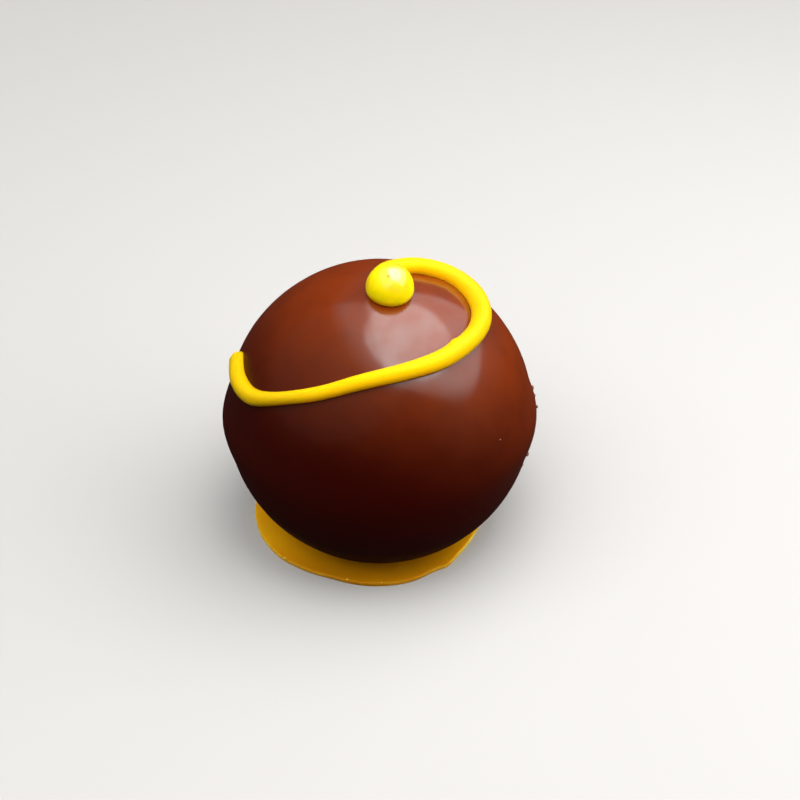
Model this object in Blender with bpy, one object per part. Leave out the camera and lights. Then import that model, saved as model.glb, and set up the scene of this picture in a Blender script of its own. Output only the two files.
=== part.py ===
"""Chocolate praline: a ball on a cut base disc, with a bead and a piped line on top.

Metres, +Z up. The origin is on the table, below the middle of the ball.
"""
import math

import bmesh
import bpy
from mathutils import Vector

# Driving dimensions
BALL_RADIUS = 0.0140            # moulded ball, without its belt
BALL_CENTRE_Z = 0.01176         # height of the ball's middle above the table
BELT_HEIGHT = 0.00043           # how far the soft belt stands out at the ball's two sides
BELT_LOW_SHARE = 0.12           # share of that height left at the front and the back
BELT_SPREAD = math.radians(12.6)  # belt fades out this far above and below the equator
LOWER_SQUASH = 0.985            # the lower half is a little flatter than the upper one

DISC_THICKNESS = 0.00040
DISC_OFFSET_X = -0.0010         # the ball stands a little off the disc's middle
DISC_SHOULDER = 0.00010         # rounding of the top edge
DISC_DRAFT = 0.00003            # the cut edge leans in by this much from foot to shoulder

BEAD_RADIUS = 0.00212           # radius of the bead at its waist
BEAD_WAIST = 0.00045            # height of the waist above the ball's surface
BEAD_CROWN = 0.0024             # from the waist up to the bead's top
BEAD_UNDERCUT = 0.00118         # the bead would close again this far below its waist
BEAD_X = 0.00094                # where the bead sits, measured over the ball's top
BEAD_Y = -0.00101

GAP = 0.0003                    # clear space between neighbouring pieces

# Mesh fineness
BALL_SEGMENTS = 60
BALL_RINGS = 32
DISC_SEGMENTS = 72
BEAD_SEGMENTS = 24
BEAD_RINGS = 9
LINE_STEPS = 5                  # sections between two stations of the line
LINE_SIDES = 8                  # faces over the line's round back
END_STEPS = 3                   # sections that round the line's end

# Radius of the hand-cut disc by direction, as (degrees from +X, radius in metres)
DISC_OUTLINE = (
    (0, 0.01075), (30, 0.01090), (62, 0.01060), (96, 0.01090), (130, 0.01070), (160, 0.01085),
    (190, 0.01094), (220, 0.01084), (235, 0.01060), (250, 0.01045), (268, 0.01080),
    (288, 0.01099), (303, 0.01076), (311, 0.01098), (319, 0.01069), (336, 0.01060),
)

# Stations of the piped line as (x, y, width, height) in metres. x and y are arc lengths
# from the ball's top, so that the line winds outwards from the bead like a spiral.
LINE_STATIONS = (
    (0.0001, 0.0014, 0.00156, 0.00112),
    (0.0019, 0.0028, 0.00156, 0.00118),
    (0.0039, 0.0036, 0.00162, 0.00128),
    (0.0066, 0.0039, 0.00186, 0.00132),
    (0.0087, 0.00235, 0.00200, 0.00137),
    (0.0095, -0.00065, 0.00188, 0.00132),
    (0.0086, -0.0040, 0.00173, 0.00122),
    (0.0060, -0.00725, 0.00170, 0.00116),
    (0.0025, -0.0092, 0.00149, 0.00106),
    (-0.0018, -0.0102, 0.00138, 0.00095),
    (-0.0061, -0.01045, 0.00130, 0.00088),
    (-0.0104, -0.00932, 0.00128, 0.00088),
    (-0.0136, -0.00722, 0.00153, 0.00092),
    (-0.01525, -0.00405, 0.00174, 0.00097),
    (-0.01568, -0.00045, 0.00188, 0.00090),
)


def clear_scene():
    """Remove every object that is in the scene."""
    for obj in list(bpy.data.objects):
        bpy.data.objects.remove(obj, do_unlink=True)


def make_material(name, colour, roughness):
    """Make a plain food material with the given linear colour."""
    material = bpy.data.materials.new(name)
    material.use_nodes = True
    shader = material.node_tree.nodes["Principled BSDF"]
    shader.inputs["Base Color"].default_value = (*colour, 1.0)
    shader.inputs["Roughness"].default_value = roughness
    shader.inputs["Metallic"].default_value = 0.0
    return material


def add_object(name, bm, material):
    """Turn a bmesh into a named, smooth-shaded object."""
    bmesh.ops.recalc_face_normals(bm, faces=bm.faces)
    mesh = bpy.data.meshes.new(name)
    bm.to_mesh(mesh)
    bm.free()
    mesh.materials.append(material)
    mesh.shade_smooth()
    mesh.set_sharp_from_angle(angle=math.radians(40))
    obj = bpy.data.objects.new(name, mesh)
    bpy.context.scene.collection.objects.link(obj)
    return obj


def skin_rings(bm, rings):
    """Join closed rings of points, all of one length, into a capped skin."""
    loops = [[bm.verts.new(point) for point in ring] for ring in rings]
    for lower, upper in zip(loops, loops[1:]):
        count = len(lower)
        for i in range(count):
            j = (i + 1) % count
            bm.faces.new((lower[i], lower[j], upper[j], upper[i]))
    bm.faces.new(list(reversed(loops[0])))
    bm.faces.new(loops[-1])


def catmull_rom(before, start, end, after, t):
    """Point at t on the smooth curve from start to end; each point is a tuple."""
    values = []
    for a, b, c, d in zip(before, start, end, after):
        cubic = -a + 3 * b - 3 * c + d
        square = 2 * a - 5 * b + 4 * c - d
        values.append(0.5 * (2 * b + (c - a) * t + square * t ** 2 + cubic * t ** 3))
    return values


# ------------------------------------------------------------------ the ball


def ball_radius_at(fall, turn):
    """Radius of the ball at an angle down from its top and a turn about its axis."""
    from_equator = abs(fall - math.pi / 2)
    if from_equator >= BELT_SPREAD:
        return BALL_RADIUS
    share = BELT_LOW_SHARE + (1 - BELT_LOW_SHARE) * math.cos(turn) ** 4
    fade = math.cos(math.pi / 2 * from_equator / BELT_SPREAD) ** 2
    return BALL_RADIUS + BELT_HEIGHT * share * fade


def ball_profile_point(fall, turn):
    """Distance from the axis and height of the ball's surface in a direction."""
    radius = ball_radius_at(fall, turn)
    squash = LOWER_SQUASH if fall > math.pi / 2 else 1.0
    return radius * math.sin(fall), BALL_CENTRE_Z + radius * math.cos(fall) * squash


def flat_foot_fall(height):
    """Angle from the top at which the ball's lower half meets a height."""
    return math.acos((height - BALL_CENTRE_Z) / (BALL_RADIUS * LOWER_SQUASH))


def make_ball(material):
    """Ball with a belt that swells at its sides, cut flat where it stands on the disc."""
    bm = bmesh.new()
    last = flat_foot_fall(DISC_THICKNESS + GAP)
    rings = []
    for i in range(BALL_RINGS, 0, -1):
        ring = []
        for k in range(BALL_SEGMENTS):
            turn = 2 * math.pi * k / BALL_SEGMENTS
            radius, height = ball_profile_point(last * i / BALL_RINGS, turn)
            ring.append((radius * math.cos(turn), radius * math.sin(turn), height))
        rings.append(ring)
    skin_rings(bm, rings)
    top_face = max(bm.faces, key=lambda face: face.calc_center_median().z)
    crown = bmesh.ops.poke(bm, faces=[top_face])
    crown["verts"][0].co.z = BALL_CENTRE_Z + BALL_RADIUS
    return add_object("chocolate_ball", bm, material)


# ------------------------------------------------------------------ the base disc


def disc_radius_at(degrees):
    """Radius of the hand-cut outline in a direction, smooth through its stations."""
    count = len(DISC_OUTLINE)
    degrees %= 360
    index = max(i for i in range(count) if DISC_OUTLINE[i][0] <= degrees)
    ring = []
    for step in (-1, 0, 1, 2):
        turns, place = divmod(index + step, count)
        angle, radius = DISC_OUTLINE[place]
        ring.append((angle + 360 * turns, radius))
    t = (degrees - ring[1][0]) / (ring[2][0] - ring[1][0])
    return catmull_rom(*[(radius,) for _, radius in ring], t)[0]


def make_disc(material):
    """Thin cut disc with a leaning edge that is rounded on top."""
    wall_top = DISC_THICKNESS - DISC_SHOULDER
    profile = [(0.0, 0.0), (-DISC_DRAFT, wall_top)]
    for step in (1, 2, 3):
        turn = math.pi / 2 * step / 3
        inset = -DISC_DRAFT - DISC_SHOULDER * (1 - math.cos(turn))
        profile.append((inset, wall_top + DISC_SHOULDER * math.sin(turn)))
    bm = bmesh.new()
    rings = []
    for inset, height in profile:
        ring = []
        for k in range(DISC_SEGMENTS):
            degrees = 360 * k / DISC_SEGMENTS
            radius = disc_radius_at(degrees) + inset
            turn = math.radians(degrees)
            ring.append((DISC_OFFSET_X + radius * math.cos(turn), radius * math.sin(turn), height))
        rings.append(ring)
    skin_rings(bm, rings)
    return add_object("base_disc", bm, material)


# ------------------------------------------------------------------ bead and piped line


def up_at(x, y):
    """Direction out of the ball at arc lengths x and y from its top."""
    arc = math.hypot(x, y)
    if arc == 0:
        return Vector((0, 0, 1))
    fall = arc / BALL_RADIUS
    side = math.sin(fall) / arc
    return Vector((x * side, y * side, math.cos(fall)))


def bead_profile():
    """Radius and height of the bead's wall, from its cut foot to just below its top."""
    foot = math.asin((GAP - BEAD_WAIST) / BEAD_UNDERCUT)
    profile = [(BEAD_RADIUS * math.cos(foot), GAP)]
    for i in range(BEAD_RINGS):
        lift = math.pi / 2 * i / BEAD_RINGS
        profile.append((BEAD_RADIUS * math.cos(lift), BEAD_WAIST + BEAD_CROWN * math.sin(lift)))
    return profile


def make_bead(material):
    """Drop with a domed top that stands on the ball, cut flat just above its surface."""
    bm = bmesh.new()
    rings = []
    for radius, height in bead_profile():
        ring = []
        for k in range(BEAD_SEGMENTS):
            turn = 2 * math.pi * k / BEAD_SEGMENTS
            ring.append((radius * math.cos(turn), radius * math.sin(turn), BALL_RADIUS + height))
        rings.append(ring)
    skin_rings(bm, rings)
    top_face = max(bm.faces, key=lambda face: face.calc_center_median().z)
    crown = bmesh.ops.poke(bm, faces=[top_face])
    crown["verts"][0].co.z = BALL_RADIUS + BEAD_WAIST + BEAD_CROWN
    tilt = Vector((0, 0, 1)).rotation_difference(up_at(BEAD_X, BEAD_Y)).to_matrix().to_4x4()
    bmesh.ops.transform(bm, matrix=tilt, verts=bm.verts)
    bead = add_object("top_bead", bm, material)
    bead.location.z = BALL_CENTRE_Z
    return bead


def line_centres():
    """Points along the line as (x, y, width, height), smooth through the stations."""
    last = len(LINE_STATIONS) - 1
    points = []
    for i in range(last):
        four = [LINE_STATIONS[min(max(i + step, 0), last)] for step in (-1, 0, 1, 2)]
        for step in range(LINE_STEPS):
            points.append(catmull_rom(*four, step / LINE_STEPS))
    points.append(list(LINE_STATIONS[last]))
    return points


def line_section(width, height):
    """Round-backed section as (across, up) pairs, flat where it faces the ball."""
    half = width / 2
    rise = min(half, height)
    middle = height - rise
    low = math.asin((GAP - middle) / rise)
    section = []
    for i in range(LINE_SIDES + 1):
        turn = low + (math.pi - 2 * low) * i / LINE_SIDES
        section.append((half * math.cos(turn), middle + rise * math.sin(turn)))
    return section


def round_end(rings):
    """Add sections past the last one that shrink towards its foot and make a rounded end."""
    last = rings[-1]
    foot = (last[0] + last[-1]) / 2
    ahead = (foot - (rings[-2][0] + rings[-2][-1]) / 2).normalized()
    half = (last[0] - last[-1]).length / 2
    for step in range(1, END_STEPS + 1):
        turn = math.radians(72) * step / END_STEPS
        shift = ahead * half * math.sin(turn)
        rings.append([foot + (point - foot) * math.cos(turn) + shift for point in last])


def make_line(material):
    """Piped line swept over the ball's surface, with a rounded end."""
    centres = line_centres()
    rings = []
    for i, (x, y, width, height) in enumerate(centres):
        before = centres[max(i - 1, 0)]
        after = centres[min(i + 1, len(centres) - 1)]
        up = up_at(x, y)
        along = up_at(after[0], after[1]) - up_at(before[0], before[1])
        side = along.cross(up).normalized()
        ring = []
        for across, lift in line_section(width, height):
            ring.append(up * (BALL_RADIUS + lift) + side * across)
        rings.append(ring)
    round_end(rings)
    bm = bmesh.new()
    skin_rings(bm, rings)
    line = add_object("piped_line", bm, material)
    line.location.z = BALL_CENTRE_Z
    return line


def main():
    clear_scene()
    chocolate = make_material("milk_chocolate", (0.155, 0.035, 0.008), 0.32)
    yellow = make_material("yellow_cocoa_butter", (0.90, 0.66, 0.005), 0.30)
    yellow_disc = make_material("yellow_disc", (0.80, 0.50, 0.004), 0.45)
    make_ball(chocolate)
    make_disc(yellow_disc)
    make_bead(yellow)
    make_line(yellow)


main()
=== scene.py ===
"""Finished surfaces of a chocolate praline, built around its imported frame.

The ball, the cut disc, the bead and the piped line each have an operator, and so has the stage.
Metres, +Z up, the origin on the table below the middle of the ball.
"""

import math

import bmesh
import bpy
from bpy.props import FloatProperty, FloatVectorProperty, PointerProperty
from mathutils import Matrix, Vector, noise


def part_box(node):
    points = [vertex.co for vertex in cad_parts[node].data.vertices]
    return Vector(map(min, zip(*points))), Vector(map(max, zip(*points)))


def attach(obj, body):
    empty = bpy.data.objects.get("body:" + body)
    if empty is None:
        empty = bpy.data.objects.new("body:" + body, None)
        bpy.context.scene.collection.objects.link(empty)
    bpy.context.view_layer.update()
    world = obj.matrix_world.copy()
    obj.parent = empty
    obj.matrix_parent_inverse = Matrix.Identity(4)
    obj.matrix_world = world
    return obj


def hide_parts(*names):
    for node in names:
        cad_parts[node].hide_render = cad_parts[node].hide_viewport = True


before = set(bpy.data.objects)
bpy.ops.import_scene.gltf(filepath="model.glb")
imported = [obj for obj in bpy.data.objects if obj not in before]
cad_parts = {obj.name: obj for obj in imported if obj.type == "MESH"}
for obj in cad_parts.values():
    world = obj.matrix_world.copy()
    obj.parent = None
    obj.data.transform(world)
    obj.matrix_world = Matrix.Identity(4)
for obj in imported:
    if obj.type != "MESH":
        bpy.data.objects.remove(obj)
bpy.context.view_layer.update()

bl_info = {
    "name": "Chocolate Praline",
    "version": (1, 0, 0),
    "blender": (4, 5, 0),
    "location": "3D View > Sidebar > Praline",
    "description": "Builds a moulded chocolate with a piped line, a bead and a cut disc",
    "category": "Add Mesh",
}

MM = 0.001
BALL_LOW, BALL_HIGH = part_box("chocolate_ball")
DISC_LOW, DISC_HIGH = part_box("base_disc")
BALL_RADIUS = 14.0 * MM
BALL_CENTRE = Vector((0.0, 0.0, BALL_HIGH.z - BALL_RADIUS))
BEAD_PLACE = (0.94 * MM, -1.01 * MM)    # arc lengths over the ball from its top
BEAD_SINK = 0.25 * MM
BODY = "root"
GLOSS_AXIS = Vector((0.32, -0.18, 0.93)).normalized()    # where the ball is polished most
PAINTED_LIGHT_AXIS = Vector((0.45, 0.50, 1.0))    # the ball's brown is painted lighter this way and darker the other way, as painted light and shade
BEAD_GLOSS_AXIS = Vector((0.34, -0.43, 0.835)).normalized()
BEAD_GLOSS_REACH = 2.12 * MM

# Mesh fineness
BALL_RINGS = 200
BALL_SEGMENTS = 256
DISC_SEGMENTS = 360
BEAD_RINGS = 40
BEAD_SEGMENTS = 72
LINE_STEPS = 16
LINE_SIDES = 30

# Stations of the piped line as (x, y, width, height) in millimetres. x and y are arc lengths
# over the ball from its top, so that the line winds outwards from under the bead.
LINE_STATIONS = (
    (1.1, -0.5, 1.50, 1.00),
    (0.35, 1.45, 1.50, 1.12),
    (1.9, 2.8, 1.56, 1.18),
    (3.9, 3.6, 1.62, 1.28),
    (6.6, 3.9, 1.86, 1.32),
    (8.7, 2.35, 2.00, 1.37),
    (9.5, -0.65, 1.88, 1.32),
    (8.6, -4.0, 1.73, 1.22),
    (6.0, -7.25, 1.70, 1.16),
    (2.5, -9.2, 1.49, 1.06),
    (-1.8, -10.2, 1.36, 0.88),
    (-6.1, -10.45, 1.22, 0.80),
    (-10.4, -9.32, 1.20, 0.81),
    (-13.6, -7.22, 1.53, 0.90),
    (-15.25, -4.05, 1.74, 0.97),
    (-15.68, -0.45, 1.88, 0.86),
)

# Small swellings of the line as (station, angle round the section, height, reach), where the
# flow of the icing paused. Height and reach are in millimetres.
LINE_SWELLINGS = (
    (7.62, 0.35, 0.14, 0.42),
    (4.4, 0.35, 0.05, 0.80),
    (12.8, 2.60, 0.04, 0.90),
)

# Crumbs stuck to the ball: turn and fall from its top in degrees, width, length and
# thickness in mm.
BALL_CRUMBS = (
    (5.0, 83.0, 0.50, 0.42, 0.22),
    (2.5, 85.0, 0.34, 0.30, 0.15),
    (0.0, 88.4, 0.36, 0.62, 0.20),
    (-15.0, 99.5, 0.46, 0.60, 0.22),
    (-20.0, 101.0, 0.24, 0.30, 0.12),
    (-39.3, 75.6, 0.14, 0.10, 0.05),
)
# Crumbs at the disc's rim: turn in degrees, then inset, width, length and thickness in mm.
RIM_CRUMBS = (
    (-136.5, 0.02, 0.34, 0.22, 0.16),
    (-101.0, 0.05, 0.24, 0.20, 0.12),
    (-84.0, 0.10, 0.16, 0.12, 0.08),
    (58.0, 0.04, 0.26, 0.18, 0.12),
    (160.0, 0.06, 0.22, 0.16, 0.10),
)
CRUMB_SIDES = 9
CRUMB_LEVELS = ((-0.35, 0.75), (0.0, 1.0), (0.38, 0.72))    # height and width shares
BEAD_SPECK_PLACE = (62.0, -104.0)    # lift and turn over the bead, in degrees
BEAD_SPECK = (0.22 * MM, 0.17 * MM, 0.10 * MM)

# Soft lights as (name, shape, azimuth, elevation, distance, (width, depth), power, whether it
# is mirrored in gloss), in degrees, metres and watts
LIGHTS = (
    ("window", "RECTANGLE", 11.3, 57.0, 0.100, (0.165, 0.140), 0.082, True),
    ("overhead", "ELLIPSE", 14.0, 70.0, 0.350, (0.42, 0.38), 0.76, True),
    ("right", "ELLIPSE", 350.0, 16.0, 0.350, (0.50, 0.40), 0.95, False),
    ("left", "ELLIPSE", 205.0, 56.0, 0.350, (0.95, 0.85), 0.86, True),
    ("front", "RECTANGLE", 226.0, 66.0, 0.350, (0.40, 0.34), 1.05, False),
)

# ---------------------------------------------------------------- settings


class PralineSizes(bpy.types.PropertyGroup):
    """Sizes of the praline's pieces."""

    belt_height: FloatProperty(
        name="Belt height", description="How far the belt stands out at the ball's two sides",
        default=BALL_HIGH.x - BALL_RADIUS, min=0.0, unit="LENGTH", subtype="DISTANCE")
    belt_low_share: FloatProperty(
        name="Belt low share", description="Share of the belt's height left at front and back",
        default=0.12, min=0.0, max=1.0, subtype="FACTOR")
    belt_spread: FloatProperty(
        name="Belt spread", description="Angle over which the belt fades out on either side",
        default=math.radians(12.6), min=0.01, subtype="ANGLE")
    lower_squash: FloatProperty(
        name="Lower squash", description="Height of the lower half as a share of a round one",
        default=0.985, min=0.8, max=1.0, subtype="FACTOR")
    waviness: FloatProperty(
        name="Waviness", description="Depth of the slow dents left by the mould",
        default=0.035 * MM, min=0.0, unit="LENGTH", subtype="DISTANCE")
    bead_radius: FloatProperty(
        name="Bead radius", description="Radius of the yellow bead at its waist",
        default=2.12 * MM, min=0.0001, unit="LENGTH", subtype="DISTANCE")
    bead_waist: FloatProperty(
        name="Bead waist", description="Height of the bead's waist above the ball",
        default=0.45 * MM, unit="LENGTH", subtype="DISTANCE")
    bead_crown: FloatProperty(
        name="Bead crown", description="Height of the bead from its waist to its top",
        default=2.40 * MM, min=0.0001, unit="LENGTH", subtype="DISTANCE")
    bead_undercut: FloatProperty(
        name="Bead undercut", description="Depth at which the bead would close below its waist",
        default=1.18 * MM, min=0.0001, unit="LENGTH", subtype="DISTANCE")
    disc_shoulder: FloatProperty(
        name="Disc shoulder", description="Rounding of the disc's upper edge",
        default=0.09 * MM, min=0.0, unit="LENGTH", subtype="DISTANCE")
    disc_dip: FloatProperty(
        name="Disc dip", description="Depth of the slow waves in the disc's top",
        default=0.03 * MM, min=0.0, unit="LENGTH", subtype="DISTANCE")


class PralineColours(bpy.types.PropertyGroup):
    """Colours of the praline's surfaces."""

    chocolate: FloatVectorProperty(
        name="Chocolate", description="Reddish brown of the ball",
        default=(0.181, 0.0225, 0.0009), size=3, min=0.0, max=1.0, subtype="COLOR")
    # Painted shade: the ball's brown darkens to this towards its foot; it also gives the random
    # darker patches.
    chocolate_shade_and_mottle: FloatVectorProperty(
        name="Dark chocolate", description="Darker brown of the ball's lower half",
        default=(0.034, 0.0011, 0.0001), size=3, min=0.0, max=1.0, subtype="COLOR")
    bloom: FloatVectorProperty(
        name="Bloom", description="Pale scuffs and shavings",
        default=(0.52, 0.37, 0.28), size=3, min=0.0, max=1.0, subtype="COLOR")
    chip: FloatVectorProperty(
        name="Chip", description="Pinkish brown of freshly broken chocolate",
        default=(0.26, 0.11, 0.075), size=3, min=0.0, max=1.0, subtype="COLOR")
    piping: FloatVectorProperty(
        name="Piping", description="Yellow of the bead and the line",
        default=(0.91, 0.570, 0.002), size=3, min=0.0, max=1.0, subtype="COLOR")
    # The bead's brighter yellow is painted light: a brighter copy of the piping's yellow.
    bead: FloatVectorProperty(
        name="Bead", description="Brighter yellow of the bead",
        default=(1.0, 0.76, 0.002), size=3, min=0.0, max=1.0, subtype="COLOR")
    # Painted shade: the line's yellow dulls to this towards its ends, down the ball's sides.
    piping_side_shade: FloatVectorProperty(
        name="Piping at the sides", description="Duller yellow of the line far from the bead",
        default=(0.72, 0.475, 0.002), size=3, min=0.0, max=1.0, subtype="COLOR")
    # Painted shade near the ball and on the bead's lower part; also a random deeper tone and the
    # bead speck's colour.
    piping_shade_and_tone: FloatVectorProperty(
        name="Deep piping", description="Deeper yellow of the piping's thin flanks",
        default=(0.96, 0.47, 0.001), size=3, min=0.0, max=1.0, subtype="COLOR")
    # The disc's deeper, more orange yellow is painted shade and warm bounce from the chocolate under
    # the ball.
    disc: FloatVectorProperty(
        name="Disc", description="Deeper yellow of the cut disc",
        default=(0.92, 0.41, 0.002), size=3, min=0.0, max=1.0, subtype="COLOR")
    # Painted shade on the disc's front under the ball's overhang, not a thinner spread.
    disc_front_shade: FloatVectorProperty(
        name="Thin disc", description="Yellow of the disc's front, which is spread thinner",
        default=(0.50, 0.20, 0.001), size=3, min=0.0, max=1.0, subtype="COLOR")
    # Painted highlight: the pale cut edge stands for the edge catching light; this colour also tints
    # the rim crumbs.
    rim: FloatVectorProperty(
        name="Rim", description="Pale cut edge of the disc",
        default=(1.0, 0.64, 0.07), size=3, min=0.0, max=1.0, subtype="COLOR")
    backdrop: FloatVectorProperty(
        name="Backdrop", description="Plain pale surroundings",
        default=(0.80, 0.785, 0.76), size=3, min=0.0, max=1.0, subtype="COLOR")
    floor: FloatVectorProperty(
        name="Floor", description="Plain pale floor",
        default=(0.50, 0.49, 0.475), size=3, min=0.0, max=1.0, subtype="COLOR")


# ---------------------------------------------------------------- shader helpers


class Value:
    """A shader value: Python maths on it adds Math nodes."""

    def __init__(self, shader, socket):
        self.shader = shader
        self.socket = socket

    def math(self, operation, *others, clamp=False):
        """Result of a Math node on this value and others."""
        inputs = dict(enumerate((self, *others)))
        settings = {"operation": operation, "use_clamp": clamp}
        return self.shader.node("ShaderNodeMath", settings, inputs)

    def __add__(self, other):
        return self.math("ADD", other)

    __radd__ = __add__

    def __sub__(self, other):
        return self.math("SUBTRACT", other)

    def __rsub__(self, other):
        return self.shader.node(
            "ShaderNodeMath", {"operation": "SUBTRACT"}, {0: other, 1: self})

    def __mul__(self, other):
        return self.math("MULTIPLY", other)

    __rmul__ = __mul__

    def __truediv__(self, other):
        return self.math("DIVIDE", other)

    def ramp(self, low, high, start=0.0, end=1.0):
        """This value smoothly mapped from low..high to start..end."""
        inputs = {"Value": self, "From Min": low, "From Max": high, "To Min": start, "To Max": end}
        return self.shader.node("ShaderNodeMapRange", {"interpolation_type": "SMOOTHSTEP"}, inputs)


class Shader:
    """A material's node tree, with one method that adds any node."""

    def __init__(self, name):
        self.material = bpy.data.materials.new(name)
        self.material.use_nodes = True
        self.tree = self.material.node_tree
        self.surface = self.tree.nodes["Principled BSDF"]

    def link(self, value, socket):
        """Put a number, a colour or another node's output into a socket."""
        if isinstance(value, Value):
            self.tree.links.new(value.socket, socket)
        elif isinstance(value, (int, float)):
            socket.default_value = value
        elif len(socket.default_value) == 4:
            socket.default_value = (*value, 1.0)
        else:
            socket.default_value = value

    def node(self, kind, settings, inputs, output=0):
        """Add a node, with its settings first and its sockets after, and return an output."""
        added = self.tree.nodes.new(kind)
        for key, value in settings.items():
            setattr(added, key, value)
        for key, value in inputs.items():
            self.link(value, added.inputs[key])
        return Value(self, added.outputs[output])

    def place(self):
        """Position on the piece, in metres."""
        return self.node("ShaderNodeTexCoord", {}, {}, "Object")

    def noise(self, scale, detail=2.0, roughness=0.5, vector=None, distortion=0.0):
        """Noise from 0 to 1; scale counts features to the metre."""
        inputs = {"Vector": vector or self.place(), "Scale": scale, "Detail": detail,
                  "Roughness": roughness, "Distortion": distortion}
        return self.node("ShaderNodeTexNoise", {}, inputs, "Fac")

    def vector(self, operation, first, second, output="Vector"):
        """Result of a Vector Math node."""
        return self.node("ShaderNodeVectorMath", {"operation": operation}, {0: first, 1: second},
                         output)

    def mix(self, factor, first, second):
        """Colour between two colours."""
        settings = {"data_type": "RGBA", "clamp_factor": True}
        inputs = {"Factor": factor, 6: first, 7: second}
        return self.node("ShaderNodeMix", settings, inputs, 2)

    def bump(self, height, distance):
        """Normal of a surface raised by height, from 0 to 1, times distance."""
        inputs = {"Height": height, "Distance": distance, "Strength": 1.0}
        return self.node("ShaderNodeBump", {}, inputs, "Normal")

    def finish(self, **sockets):
        """Fill the surface shader's sockets; a name's underscores stand for spaces."""
        for name, value in sockets.items():
            self.link(value, self.surface.inputs[name.replace("_", " ")])
        return self.material


# ---------------------------------------------------------------- materials


def chocolate_material(colours):
    """Satin moulded chocolate with faint patches, duller towards its foot; its brown is painted
    darker towards the foot and lighter up towards the back right, as painted shade and light.
    """
    shader = Shader("moulded_chocolate")
    outward = shader.vector("SUBTRACT", shader.place(), BALL_CENTRE)
    # Painted light and shade: the brown is lighter up towards the back right and darker towards the
    # foot.
    above = shader.vector("DOT_PRODUCT", outward, PAINTED_LIGHT_AXIS / BALL_RADIUS, "Value")
    polish = shader.vector("DOT_PRODUCT", outward, GLOSS_AXIS / BALL_RADIUS, "Value")
    patches = shader.noise(95.0, 2.0)
    mottle = shader.noise(330.0, 3.0, 0.6)
    smudges = shader.noise(190.0, 3.0, 0.5)
    above = above + patches * 0.3 - 0.15
    colour = shader.mix(above.ramp(-0.35, 1.10), colours.chocolate_shade_and_mottle, colours.chocolate)
    colour = shader.mix(mottle.ramp(0.40, 0.70, 0.0, 0.18), colour, colours.chocolate_shade_and_mottle)
    polish = polish + smudges * 0.08 - 0.04
    return shader.finish(
        Base_Color=colour,
        Roughness=polish.ramp(-0.60, 0.40, 0.78, 0.36) + smudges * 0.12,
        Specular_IOR_Level=0.20,
        Specular_Tint=(1.0, 0.62, 0.40),
        Coat_Weight=polish.ramp(0.79, 0.885, 0.04, 1.0) * mottle.ramp(0.25, 0.75, 0.62, 1.0),
        Coat_IOR=1.85,
        Coat_Roughness=0.145,
        Normal=shader.bump(shader.noise(150.0, 2.0) + shader.noise(430.0, 3.0) * 0.46, 0.14 * MM),
    )


def piping_material(colours, colour, depth, shading, middle=None):
    """Yellow cocoa butter, with painted shade that deepens it towards the ball by the given shading
    and dulls it far to either side.

    Depth is how far light wanders in it. A bead is glossy on top, seen from its middle.
    """
    shader = Shader("yellow_piping")
    gloss = 0.02
    if middle:
        outward = shader.vector("SUBTRACT", shader.place(), middle)
        gloss = shader.vector("DOT_PRODUCT", outward, BEAD_GLOSS_AXIS, "Value")
        gloss = (gloss / BEAD_GLOSS_REACH).ramp(0.66, 0.92, 0.02, 1.0)
    outward = shader.vector("SUBTRACT", shader.place(), BALL_CENTRE)
    rise = shader.vector("LENGTH", outward, outward, "Value") - BALL_RADIUS
    tone = shader.noise(300.0, 3.0).ramp(0.3, 0.7, 0.0, 0.3)
    colour = shader.mix(tone, colour, colours.piping_shade_and_tone)
    sideways = shader.node("ShaderNodeSeparateXYZ", {}, {0: shader.place()}, "X")
    # Painted shade: the yellow is duller far to either side, where the line runs down the ball.
    painted_side_shade = (sideways * sideways).ramp((2.5 * MM) ** 2, (9.0 * MM) ** 2)
    colour = shader.mix(painted_side_shade, colour, colours.piping_side_shade)
    # Painted shade: the yellow deepens where the piping meets the ball, and on the bead's lower
    # part.
    colour = shader.mix(rise.ramp(0.10 * MM, 0.9 * MM, shading, 0.0), colour, colours.piping_shade_and_tone)
    fine = shader.noise(1100.0, 3.0)
    return shader.finish(
        Base_Color=colour,
        Roughness=0.34 + shader.noise(500.0) * 0.10,
        Specular_IOR_Level=0.3,
        Specular_Tint=(1.0, 0.85, 0.08),
        Coat_Weight=gloss,
        Coat_IOR=2.5,
        Coat_Roughness=0.16,
        Subsurface_Weight=1.0,
        Subsurface_Radius=(1.0, 0.75, 0.12),
        Subsurface_Scale=depth,
        Normal=shader.bump(fine, 0.010 * MM),
    )


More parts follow.
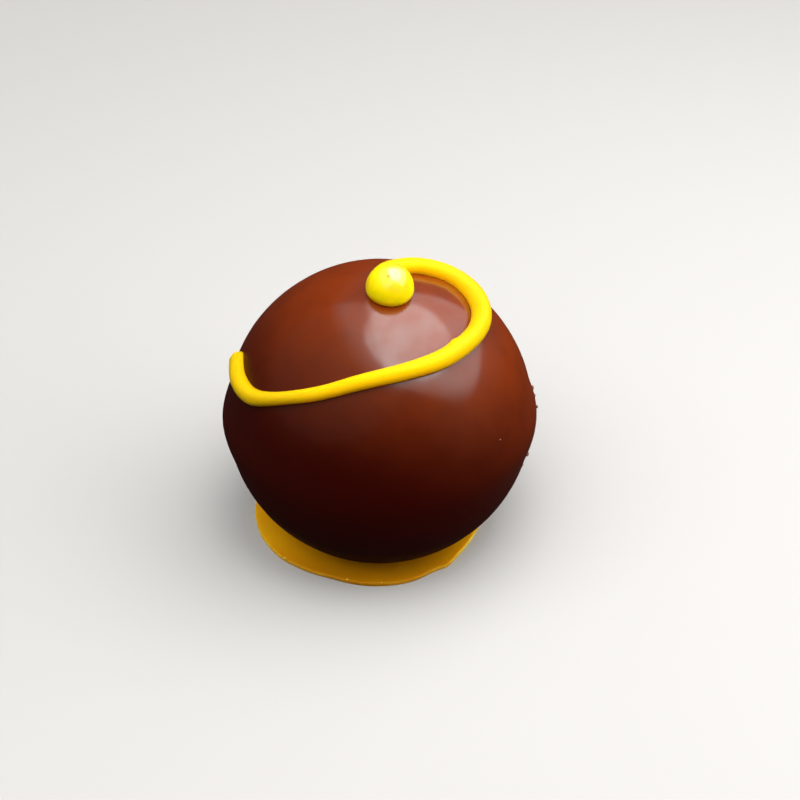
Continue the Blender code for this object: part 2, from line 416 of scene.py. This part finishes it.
def disc_material(colours):
    """Matt yellow cocoa butter, with a painted highlight along its cut edge, broken at random, and
    painted shade on its front.
    """
    shader = Shader("yellow_disc")
    facing = shader.node("ShaderNodeNewGeometry", {}, {}, "True Normal")
    upward = shader.node("ShaderNodeSeparateXYZ", {}, {0: facing}, "Z")
    broken = shader.noise(700.0, 3.0).ramp(0.30, 0.60, 0.25, 1.0)
    front = shader.node("ShaderNodeSeparateXYZ", {}, {0: shader.place()}, "Y")
    # Painted shade: the disc's front, under the ball's overhang, is darkened.
    thin = front.ramp(-10.5 * MM, -4.0 * MM, 0.95, 0.0)
    # Painted highlight: the upright faces of the cut edge are painted pale, broken at random and
    # faded on the shaded front.
    edge = (1.0 - upward.ramp(0.25, 0.75)) * broken * (1.0 - thin * 0.9)
    tone = shader.noise(260.0, 3.0).ramp(0.3, 0.7)
    deeper = [0.90, 0.36, 0.002]
    colour = shader.mix(tone * 0.4, colours.disc, deeper)
    colour = shader.mix(thin, colour, colours.disc_front_shade)
    colour = shader.mix(edge, colour, colours.rim)
    fine = shader.noise(1300.0, 4.0)
    return shader.finish(
        Base_Color=colour,
        Roughness=0.50 + shader.noise(420.0) * 0.12,
        Specular_IOR_Level=0.25,
        Specular_Tint=(1.0, 0.9, 0.5),
        Subsurface_Weight=0.6,
        Subsurface_Radius=(1.0, 0.6, 0.1),
        Subsurface_Scale=0.8 * MM,
        Normal=shader.bump(fine, 0.015 * MM),
    )


def shaving_material(name, light, deep):
    """Dry broken surface of the crumbs, from a light to a deep colour."""
    shader = Shader(name)
    tone = shader.noise(2500.0)
    colour = shader.mix(tone.ramp(0.35, 0.65), light, deep)
    return shader.finish(Base_Color=colour, Roughness=0.6)


def floor_material(colours):
    """Plain pale floor, which stays pale far from the lights."""
    shader = Shader("pale_floor")
    place = shader.place()
    reach = shader.vector("LENGTH", place, place, "Value").ramp(0.08, 0.34)
    return shader.finish(
        Base_Color=shader.mix(reach, colours.floor, [0.0, 0.0, 0.0]),
        Roughness=0.9,
        Specular_IOR_Level=0.1,
        Emission_Color=shader.mix(reach, [0.0, 0.0, 0.0], colours.backdrop),
        Emission_Strength=1.0,
    )


def backdrop_material(colours):
    """Plain pale wall behind everything."""
    shader = Shader("pale_backdrop")
    return shader.finish(Base_Color=[0.0, 0.0, 0.0], Specular_IOR_Level=0.0,
                         Emission_Color=colours.backdrop[:], Emission_Strength=1.0)


# ---------------------------------------------------------------- mesh helpers


def smooth_between(before, start, end, after, t):
    """Point at t on the smooth curve from start to end; each point is a tuple."""
    values = []
    for a, b, c, d in zip(before, start, end, after):
        cubic = -a + 3 * b - 3 * c + d
        square = 2 * a - 5 * b + 4 * c - d
        values.append(0.5 * (2 * b + (c - a) * t + square * t ** 2 + cubic * t ** 3))
    return values


def add_shell(bm, rings, tip_start=None, tip_end=None):
    """Add a closed skin over rings of points; each end comes to a tip or is a flat face."""
    loops = [[bm.verts.new(point) for point in ring] for ring in rings]
    for lower, upper in zip(loops, loops[1:]):
        for i in range(len(lower)):
            j = (i + 1) % len(lower)
            bm.faces.new((lower[i], lower[j], upper[j], upper[i]))
    for loop, tip in ((list(reversed(loops[0])), tip_start), (loops[-1], tip_end)):
        if tip is None:
            bm.faces.new(loop)
            continue
        point = bm.verts.new(tip)
        for i in range(len(loop)):
            bm.faces.new((loop[i], loop[(i + 1) % len(loop)], point))


def finish_piece(name, bm):
    """Turn the shells into one smooth piece of that name."""
    bmesh.ops.recalc_face_normals(bm, faces=bm.faces)
    mesh = bpy.data.meshes.new(name)
    bm.to_mesh(mesh)
    bm.free()
    mesh.shade_smooth()
    piece = bpy.data.objects.new(name, mesh)
    bpy.context.scene.collection.objects.link(piece)
    return piece


def skin(name, rings, tip_start=None, tip_end=None):
    """One piece with a closed skin over rings of points."""
    bm = bmesh.new()
    add_shell(bm, rings, tip_start, tip_end)
    return finish_piece(name, bm)


def settle(piece, material, node=None):
    """Give a piece its material, let it ride on the body and stand for its node."""
    piece.data.materials.append(material)
    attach(piece, BODY)
    if node:
        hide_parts(node)


def up_at(x, y):
    """Direction out of the ball at arc lengths x and y from its top."""
    arc = math.hypot(x, y)
    if arc < 1e-9:
        return Vector((0, 0, 1))
    fall = arc / BALL_RADIUS
    side = math.sin(fall) / arc
    return Vector((x * side, y * side, math.cos(fall)))


# ---------------------------------------------------------------- the ball


def belt_at(sizes, fall, direction):
    """Height of the soft belt, which wanders and swells a little round the ball."""
    wander = math.radians(0.8) * noise.noise(Vector((direction.x, direction.y, 0.3)) * 1.8)
    swell = 1.0 + 0.10 * noise.noise(Vector((direction.x, direction.y, 5.1)) * 2.6)
    off = abs(fall - math.pi / 2 - wander) / sizes.belt_spread
    if off >= 1.0:
        return 0.0
    sideways = direction.x ** 2 / (direction.x ** 2 + direction.y ** 2)
    share = sizes.belt_low_share + (1 - sizes.belt_low_share) * sideways ** 2
    return sizes.belt_height * 0.95 * swell * share * math.cos(math.pi / 2 * off) ** 2


def ball_point(sizes, fall, turn):
    """Point of the ball's surface, relative to the ball's middle."""
    direction = Vector((math.sin(fall) * math.cos(turn), math.sin(fall) * math.sin(turn),
                        math.cos(fall)))
    slow = noise.noise(direction * 1.9 + Vector((3.1, 0.0, 0.0)))
    quick = noise.noise(direction * 5.5 + Vector((0.0, 7.7, 0.0)))
    reach = BALL_RADIUS + belt_at(sizes, fall, direction)
    reach += sizes.waviness * (slow + 0.35 * quick)
    point = direction * reach
    if point.z < 0:
        point.z *= sizes.lower_squash
    return point


class PRALINE_OT_ball(bpy.types.Operator):
    """Build the moulded ball with its soft belt and flat foot"""

    bl_idname = "praline.ball"
    bl_label = "Moulded Ball"

    def execute(self, context):
        sizes = context.scene.praline_sizes
        floor = DISC_HIGH.z - BALL_CENTRE.z - 0.02 * MM
        last = math.acos(floor / (BALL_RADIUS * sizes.lower_squash))
        rings = []
        for i in range(1, BALL_RINGS + 1):
            fall = last * i / BALL_RINGS
            ring = []
            for k in range(BALL_SEGMENTS):
                point = ball_point(sizes, fall, 2 * math.pi * k / BALL_SEGMENTS)
                if i == BALL_RINGS:
                    point.z = floor
                ring.append(BALL_CENTRE + point)
            rings.append(ring)
        crown = BALL_CENTRE + ball_point(sizes, 0.0, 0.0)
        ball = skin("moulded_ball", rings, tip_start=crown)
        settle(ball, chocolate_material(context.scene.praline_colours),
               "chocolate_ball")
        return {"FINISHED"}


# ---------------------------------------------------------------- the disc


def disc_outline():
    """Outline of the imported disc's foot as (angle, distance) pairs about its middle."""
    middle = (DISC_LOW + DISC_HIGH) / 2
    outline = []
    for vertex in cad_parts["base_disc"].data.vertices:
        if vertex.co.z < 0.01 * MM:
            x, y = vertex.co.x - middle.x, vertex.co.y - middle.y
            outline.append((math.atan2(y, x) % (2 * math.pi), math.hypot(x, y)))
    outline = sorted((angle, distance) for angle, distance in outline if distance > MM)
    kept = [outline[0]]
    for angle, distance in outline[1:]:
        if angle - kept[-1][0] > math.radians(1):
            kept.append((angle, distance))
    return middle, kept


def outline_at(outline, angle):
    """Distance of the outline in a direction, smooth through its points."""
    count = len(outline)
    index = max((i for i in range(count) if outline[i][0] <= angle), default=-1)
    four = []
    for step in (-1, 0, 1, 2):
        turns, place = divmod(index + step, count)
        four.append((outline[place][0] + 2 * math.pi * turns, outline[place][1]))
    t = (angle - four[1][0]) / (four[2][0] - four[1][0])
    return smooth_between(*[(distance,) for _, distance in four], t)[0]


def disc_profile(sizes):
    """Cut edge and top of the disc, from its foot inwards, as (inset, height) pairs."""
    top, shoulder = DISC_HIGH.z, sizes.disc_shoulder
    wall_top = top - shoulder
    profile = [(0.03 * MM, 0.0), (0.0, 0.04 * MM), (0.0, wall_top * 0.5), (0.01 * MM, wall_top)]
    for step in range(1, 6):
        turn = math.pi / 2 * step / 5
        inset = 0.01 * MM + shoulder * (1 - math.cos(turn))
        profile.append((inset, wall_top + shoulder * math.sin(turn)))
    for step in range(1, 25):
        profile.append((shoulder + step * 0.4 * MM, top))
    return profile


class PRALINE_OT_disc(bpy.types.Operator):
    """Build the thin cut disc under the ball, with a painted highlight on its cut edge"""

    bl_idname = "praline.disc"
    bl_label = "Cut Disc"

    def execute(self, context):
        sizes = context.scene.praline_sizes
        middle, outline = disc_outline()
        reaches = []
        for k in range(DISC_SEGMENTS):
            angle = 2 * math.pi * k / DISC_SEGMENTS
            cut = noise.noise(Vector((math.cos(angle), math.sin(angle), 2.0)) * 7.0)
            reaches.append(outline_at(outline, angle) + 0.03 * MM * cut)
        rings = []
        for inset, height in disc_profile(sizes):
            ring = []
            for k in range(DISC_SEGMENTS):
                angle = 2 * math.pi * k / DISC_SEGMENTS
                x = middle.x + (reaches[k] - inset) * math.cos(angle)
                y = middle.y + (reaches[k] - inset) * math.sin(angle)
                dip = sizes.disc_dip * noise.noise(Vector((x, y, 0.0)) * 220.0)
                ring.append((x, y, height + min(dip, 0.0) * height / DISC_HIGH.z))
            rings.append(ring)
        disc = skin("cut_disc", rings, tip_end=(middle.x, middle.y, DISC_HIGH.z))
        settle(disc, disc_material(context.scene.praline_colours), "base_disc")
        return {"FINISHED"}


# ---------------------------------------------------------------- the bead


class PRALINE_OT_bead(bpy.types.Operator):
    """Build the yellow bead that sits beside the ball's highest point"""

    bl_idname = "praline.bead"
    bl_label = "Bead"

    def execute(self, context):
        sizes = context.scene.praline_sizes
        first = -math.asin((sizes.bead_waist + BEAD_SINK) / sizes.bead_undercut)
        rings = []
        for i in range(BEAD_RINGS):
            lift = first + (math.pi / 2 - first) * i / BEAD_RINGS
            ring = []
            for k in range(BEAD_SEGMENTS):
                ring.append(bead_point(sizes, lift, 2 * math.pi * k / BEAD_SEGMENTS))
            rings.append(ring)
        crown = bead_point(sizes, math.pi / 2, 0.0)
        bead = skin("yellow_bead", rings, tip_end=crown)
        colours = context.scene.praline_colours
        # The bead takes its brighter yellow, which is painted light.
        material = piping_material(colours, colours.bead, 1.8 * MM, 0.6, bead_middle(sizes))
        settle(bead, material, "top_bead")
        return {"FINISHED"}


def bead_middle(sizes):
    """Middle of the bead's widest ring."""
    return BALL_CENTRE + up_at(*BEAD_PLACE) * (BALL_RADIUS + sizes.bead_waist)


def bead_point(sizes, lift, turn):
    """Point of the bead's skin, at a lift from its widest ring and a turn round its axis."""
    way = Vector((math.cos(lift) * math.cos(turn), math.cos(lift) * math.sin(turn),
                  math.sin(lift)))
    height = sizes.bead_crown if lift > 0 else sizes.bead_undercut
    swell = 1.0 + 0.012 * noise.noise(way * 1.7)
    out = sizes.bead_radius * 0.995 * swell
    base = BALL_RADIUS + sizes.bead_waist
    tilt = Vector((0, 0, 1)).rotation_difference(up_at(*BEAD_PLACE))
    point = Vector((way.x * out, way.y * out, base + way.z * height * (0.99 * swell)))
    return BALL_CENTRE + tilt @ point


# ---------------------------------------------------------------- the piped line


def line_points():
    """Points along the line as (station, x, y, width, height), in metres."""
    last = len(LINE_STATIONS) - 1
    points = []
    for i in range(last):
        four = [LINE_STATIONS[min(max(i + step, 0), last)] for step in (-1, 0, 1, 2)]
        for step in range(LINE_STEPS):
            share = step / LINE_STEPS
            x, y, width, height = [value * MM for value in smooth_between(*four, share)]
            points.append((i + share, x, y, width, height))
    x, y, width, height = [value * MM for value in LINE_STATIONS[last]]
    points.append((last, x, y, width, height))
    return points


def swelling_at(station, angle, spacing):
    """Extra height of the line's surface from its small swellings."""
    extra = 0.0
    for where, around, height, reach in LINE_SWELLINGS:
        along = (station - where) * spacing / (reach * MM)
        across = (angle - around) / 0.55
        extra += height * MM * math.exp(-along ** 2 - across ** 2)
    return extra


class PRALINE_OT_line(bpy.types.Operator):
    """Build the yellow line that winds outwards over the ball"""

    bl_idname = "praline.line"
    bl_label = "Piped Line"

    def execute(self, context):
        points = line_points()
        spacing = 3.4 * MM
        rings = []
        for i, (station, x, y, width, height) in enumerate(points):
            before = points[max(i - 1, 0)]
            after = points[min(i + 1, len(points) - 1)]
            up = up_at(x, y)
            along = up_at(after[1], after[2]) - up_at(before[1], before[2])
            side = along.cross(up).normalized()
            pulse = noise.noise(Vector((station * 1.3, 0.0, 4.0)))
            half = width / 2 * (1 + 0.025 * pulse)
            rise = min(half, height)
            ring = []
            for k in range(LINE_SIDES):
                angle = 2 * math.pi * k / LINE_SIDES
                grow = swelling_at(station, angle, spacing)
                across = (half + grow) * math.cos(angle)
                lift = height - rise + (rise + grow) * math.sin(angle)
                ring.append(BALL_CENTRE + up * (BALL_RADIUS + lift) + side * across)
            rings.append(ring)
        rings, tip = round_end(rings)
        line = skin("piped_line_finish", rings, tip_end=tip)
        colours = context.scene.praline_colours
        material = piping_material(colours, colours.piping, 0.9 * MM, 0.5)
        settle(line, material, "piped_line")
        return {"FINISHED"}


def round_end(rings):
    """Add shrinking rings past the last one, so that the tail ends round."""
    centre = sum(rings[-1], Vector()) / len(rings[-1])
    before = sum(rings[-2], Vector()) / len(rings[-2])
    ahead = (centre - before).normalized()
    half = max((point - centre).length for point in rings[-1])
    steps = 7
    for step in range(1, steps):
        turn = math.pi / 2 * step / steps
        shift = ahead * half * math.sin(turn)
        rings.append([centre + (point - centre) * math.cos(turn) + shift for point in rings[-step]])
    return rings, centre + ahead * half


# ---------------------------------------------------------------- loose bits


def add_crumb(bm, centre, outward, size, seed):
    """Add one small broken crumb, lying flat on a surface that faces outward."""
    across = outward.orthogonal().normalized()
    along = outward.cross(across)
    width, length, thickness = size
    rings = []
    for level, share in CRUMB_LEVELS:
        ring = []
        for k in range(CRUMB_SIDES):
            angle = 2 * math.pi * k / CRUMB_SIDES
            way = Vector((math.cos(angle), math.sin(angle), seed))
            reach = share * (0.5 + 0.28 * noise.noise(way * 1.7))
            point = across * (reach * width * way.x) + along * (reach * length * way.y)
            ring.append(centre + point + outward * (level * thickness))
        rings.append(ring)
    foot = centre - outward * (0.55 * thickness)
    crown = centre + outward * (0.62 * thickness) + across * (0.12 * width)
    add_shell(bm, rings, foot, crown)


def ball_crumbs(sizes):
    """Centre, outward direction and size of every crumb that sticks to the ball."""
    crumbs = []
    for turn, fall, width, length, thickness in BALL_CRUMBS:
        point = ball_point(sizes, math.radians(fall), math.radians(turn))
        outward = point.normalized()
        size = (width * MM, length * MM, thickness * MM)
        crumbs.append((BALL_CENTRE + point + outward * (0.30 * size[2]), outward, size))
    return crumbs


def rim_crumbs():
    """Centre, outward direction and size of every crumb at the disc's rim."""
    middle, outline = disc_outline()
    crumbs = []
    for turn, inset, width, length, thickness in RIM_CRUMBS:
        angle = math.radians(turn) % (2 * math.pi)
        reach = outline_at(outline, angle) - inset * MM
        place = Vector((middle.x + reach * math.cos(angle), middle.y + reach * math.sin(angle),
                        DISC_HIGH.z + 0.2 * thickness * MM))
        crumbs.append((place, Vector((0, 0, 1)), (width * MM, length * MM, thickness * MM)))
    return crumbs


class PRALINE_OT_shavings(bpy.types.Operator):
    """Build the tiny shavings on the ball and the crumbs at the disc's rim"""

    bl_idname = "praline.shavings"
    bl_label = "Shavings"

    def execute(self, context):
        sizes = context.scene.praline_sizes
        colours = context.scene.praline_colours
        bm = bmesh.new()
        for seed, crumb in enumerate(ball_crumbs(sizes)):
            add_crumb(bm, *crumb, seed)
        pale = finish_piece("chocolate_shavings", bm)
        settle(pale, shaving_material("chocolate_shavings", colours.bloom, colours.chip))
        bm = bmesh.new()
        for seed, crumb in enumerate(rim_crumbs()):
            add_crumb(bm, *crumb, seed + 20)
        yellow = finish_piece("rim_crumbs", bm)
        settle(yellow, shaving_material("rim_crumbs", colours.rim, colours.disc))
        bm = bmesh.new()
        lift, turn = (math.radians(angle) for angle in BEAD_SPECK_PLACE)
        point = bead_point(sizes, lift, turn)
        outward = (point - bead_middle(sizes)).normalized()
        add_crumb(bm, point + outward * (0.2 * BEAD_SPECK[2]), outward, BEAD_SPECK, 40)
        speck = finish_piece("bead_speck", bm)
        settle(speck, shaving_material("bead_speck", colours.piping_shade_and_tone, colours.chip))
        return {"FINISHED"}


# ---------------------------------------------------------------- stage


def add_softbox(name, shape, azimuth, elevation, distance, size, power, mirrored):
    """Add a soft light that faces the ball; angles are in degrees."""
    light = bpy.data.lights.new(name, "AREA")
    light.shape = shape
    light.size, light.size_y = size
    light.energy = power
    lamp = bpy.data.objects.new(name, light)
    turn, lift = math.radians(azimuth), math.radians(elevation)
    away = Vector((math.cos(lift) * math.cos(turn), math.cos(lift) * math.sin(turn), math.sin(lift)))
    lamp.location = BALL_CENTRE + away * distance
    lamp.rotation_euler = away.to_track_quat("Z", "Y").to_euler()
    lamp.visible_glossy = mirrored
    bpy.context.scene.collection.objects.link(lamp)
    return lamp


def add_camera(context):
    """Add the camera, looking down on the praline from its front."""
    elevation = math.radians(38)
    distance = 12.5 * BALL_RADIUS
    data = bpy.data.cameras.new("camera")
    data.sensor_width = 36.0
    data.lens = 85.7
    data.clip_start = 0.005
    data.clip_end = 10.0
    camera = bpy.data.objects.new("camera", data)
    towards = Vector((0, math.cos(elevation), -math.sin(elevation)))
    above = Vector((0, math.sin(elevation), math.cos(elevation)))
    camera.location = BALL_CENTRE - towards * distance
    aim = BALL_CENTRE + Vector((0.134, 0, 0)) * BALL_RADIUS + above * 0.0742 * BALL_RADIUS
    camera.rotation_euler = (aim - camera.location).to_track_quat("-Z", "Y").to_euler()
    context.scene.collection.objects.link(camera)
    context.scene.camera = camera


def add_world(context):
    """Dim surroundings, darker below than above."""
    world = bpy.data.worlds.new("studio")
    world.use_nodes = True
    context.scene.world = world
    tree = world.node_tree
    background = tree.nodes["Background"]
    background.inputs["Color"].default_value = (1.0, 0.99, 0.97, 1.0)
    direction = tree.nodes.new("ShaderNodeTexCoord")
    parts = tree.nodes.new("ShaderNodeSeparateXYZ")
    above = tree.nodes.new("ShaderNodeMapRange")
    above.inputs["From Min"].default_value = -0.05
    above.inputs["From Max"].default_value = 0.25
    above.inputs["To Min"].default_value = 0.05
    above.inputs["To Max"].default_value = 0.12
    tree.links.new(direction.outputs["Generated"], parts.inputs["Vector"])
    tree.links.new(parts.outputs["Z"], above.inputs["Value"])
    tree.links.new(above.outputs["Result"], background.inputs["Strength"])


def add_stage_piece(name, points, faces, material):
    """Add a piece of the studio, which is seen but not mirrored and lights nothing."""
    mesh = bpy.data.meshes.new(name)
    mesh.from_pydata(points, [], faces)
    mesh.materials.append(material)
    piece = bpy.data.objects.new(name, mesh)
    bpy.context.scene.collection.objects.link(piece)
    piece.visible_diffuse = False
    piece.visible_glossy = False
    return piece


class PRALINE_OT_stage(bpy.types.Operator):
    """Build the plain pale floor, the soft lights and the camera"""

    bl_idname = "praline.stage"
    bl_label = "Stage"

    def execute(self, context):
        colours = context.scene.praline_colours
        half = 1.5
        corners = [(-half, -half, 0), (half, -half, 0), (half, half, 0), (-half, half, 0)]
        add_stage_piece("floor", corners, [(0, 1, 2, 3)], floor_material(colours))
        ring, count = [], 96
        for height in (-0.1, 3.0):
            for k in range(count):
                angle = 2 * math.pi * k / count
                ring.append((1.45 * math.cos(angle), 1.45 * math.sin(angle), height))
        walls = [(k, (k + 1) % count, (k + 1) % count + count, k + count) for k in range(count)]
        wall = add_stage_piece("backdrop", ring, walls, backdrop_material(colours))
        wall.visible_shadow = False
        add_world(context)
        add_camera(context)
        for light in LIGHTS:
            add_softbox(*light)
        context.scene.view_settings.view_transform = "Standard"
        return {"FINISHED"}


# ---------------------------------------------------------------- add-on


class PRALINE_PT_panel(bpy.types.Panel):
    """Buttons and settings of the praline"""

    bl_idname = "PRALINE_PT_panel"
    bl_label = "Praline"
    bl_space_type = "VIEW_3D"
    bl_region_type = "UI"
    bl_category = "Praline"

    def draw(self, context):
        layout = self.layout
        for settings in (context.scene.praline_sizes, context.scene.praline_colours):
            for name in settings.bl_rna.properties.keys():
                if name not in ("rna_type", "name"):
                    layout.prop(settings, name)
        for operator in OPERATORS:
            layout.operator(operator.bl_idname)


OPERATORS = (
    PRALINE_OT_stage,
    PRALINE_OT_ball,
    PRALINE_OT_disc,
    PRALINE_OT_bead,
    PRALINE_OT_line,
    PRALINE_OT_shavings,
)
CLASSES = (PralineSizes, PralineColours, *OPERATORS, PRALINE_PT_panel)


def register():
    """Register the classes and the scene's settings."""
    for cls in CLASSES:
        bpy.utils.register_class(cls)
    bpy.types.Scene.praline_sizes = PointerProperty(type=PralineSizes)
    bpy.types.Scene.praline_colours = PointerProperty(type=PralineColours)


def unregister():
    """Remove the settings and the classes."""
    del bpy.types.Scene.praline_colours
    del bpy.types.Scene.praline_sizes
    for cls in reversed(CLASSES):
        bpy.utils.unregister_class(cls)


def main():
    """Build every piece in order."""
    register()
    bpy.ops.praline.stage()
    bpy.ops.praline.ball()
    bpy.ops.praline.disc()
    bpy.ops.praline.bead()
    bpy.ops.praline.line()
    bpy.ops.praline.shavings()


if __name__ == "__main__":
    main()
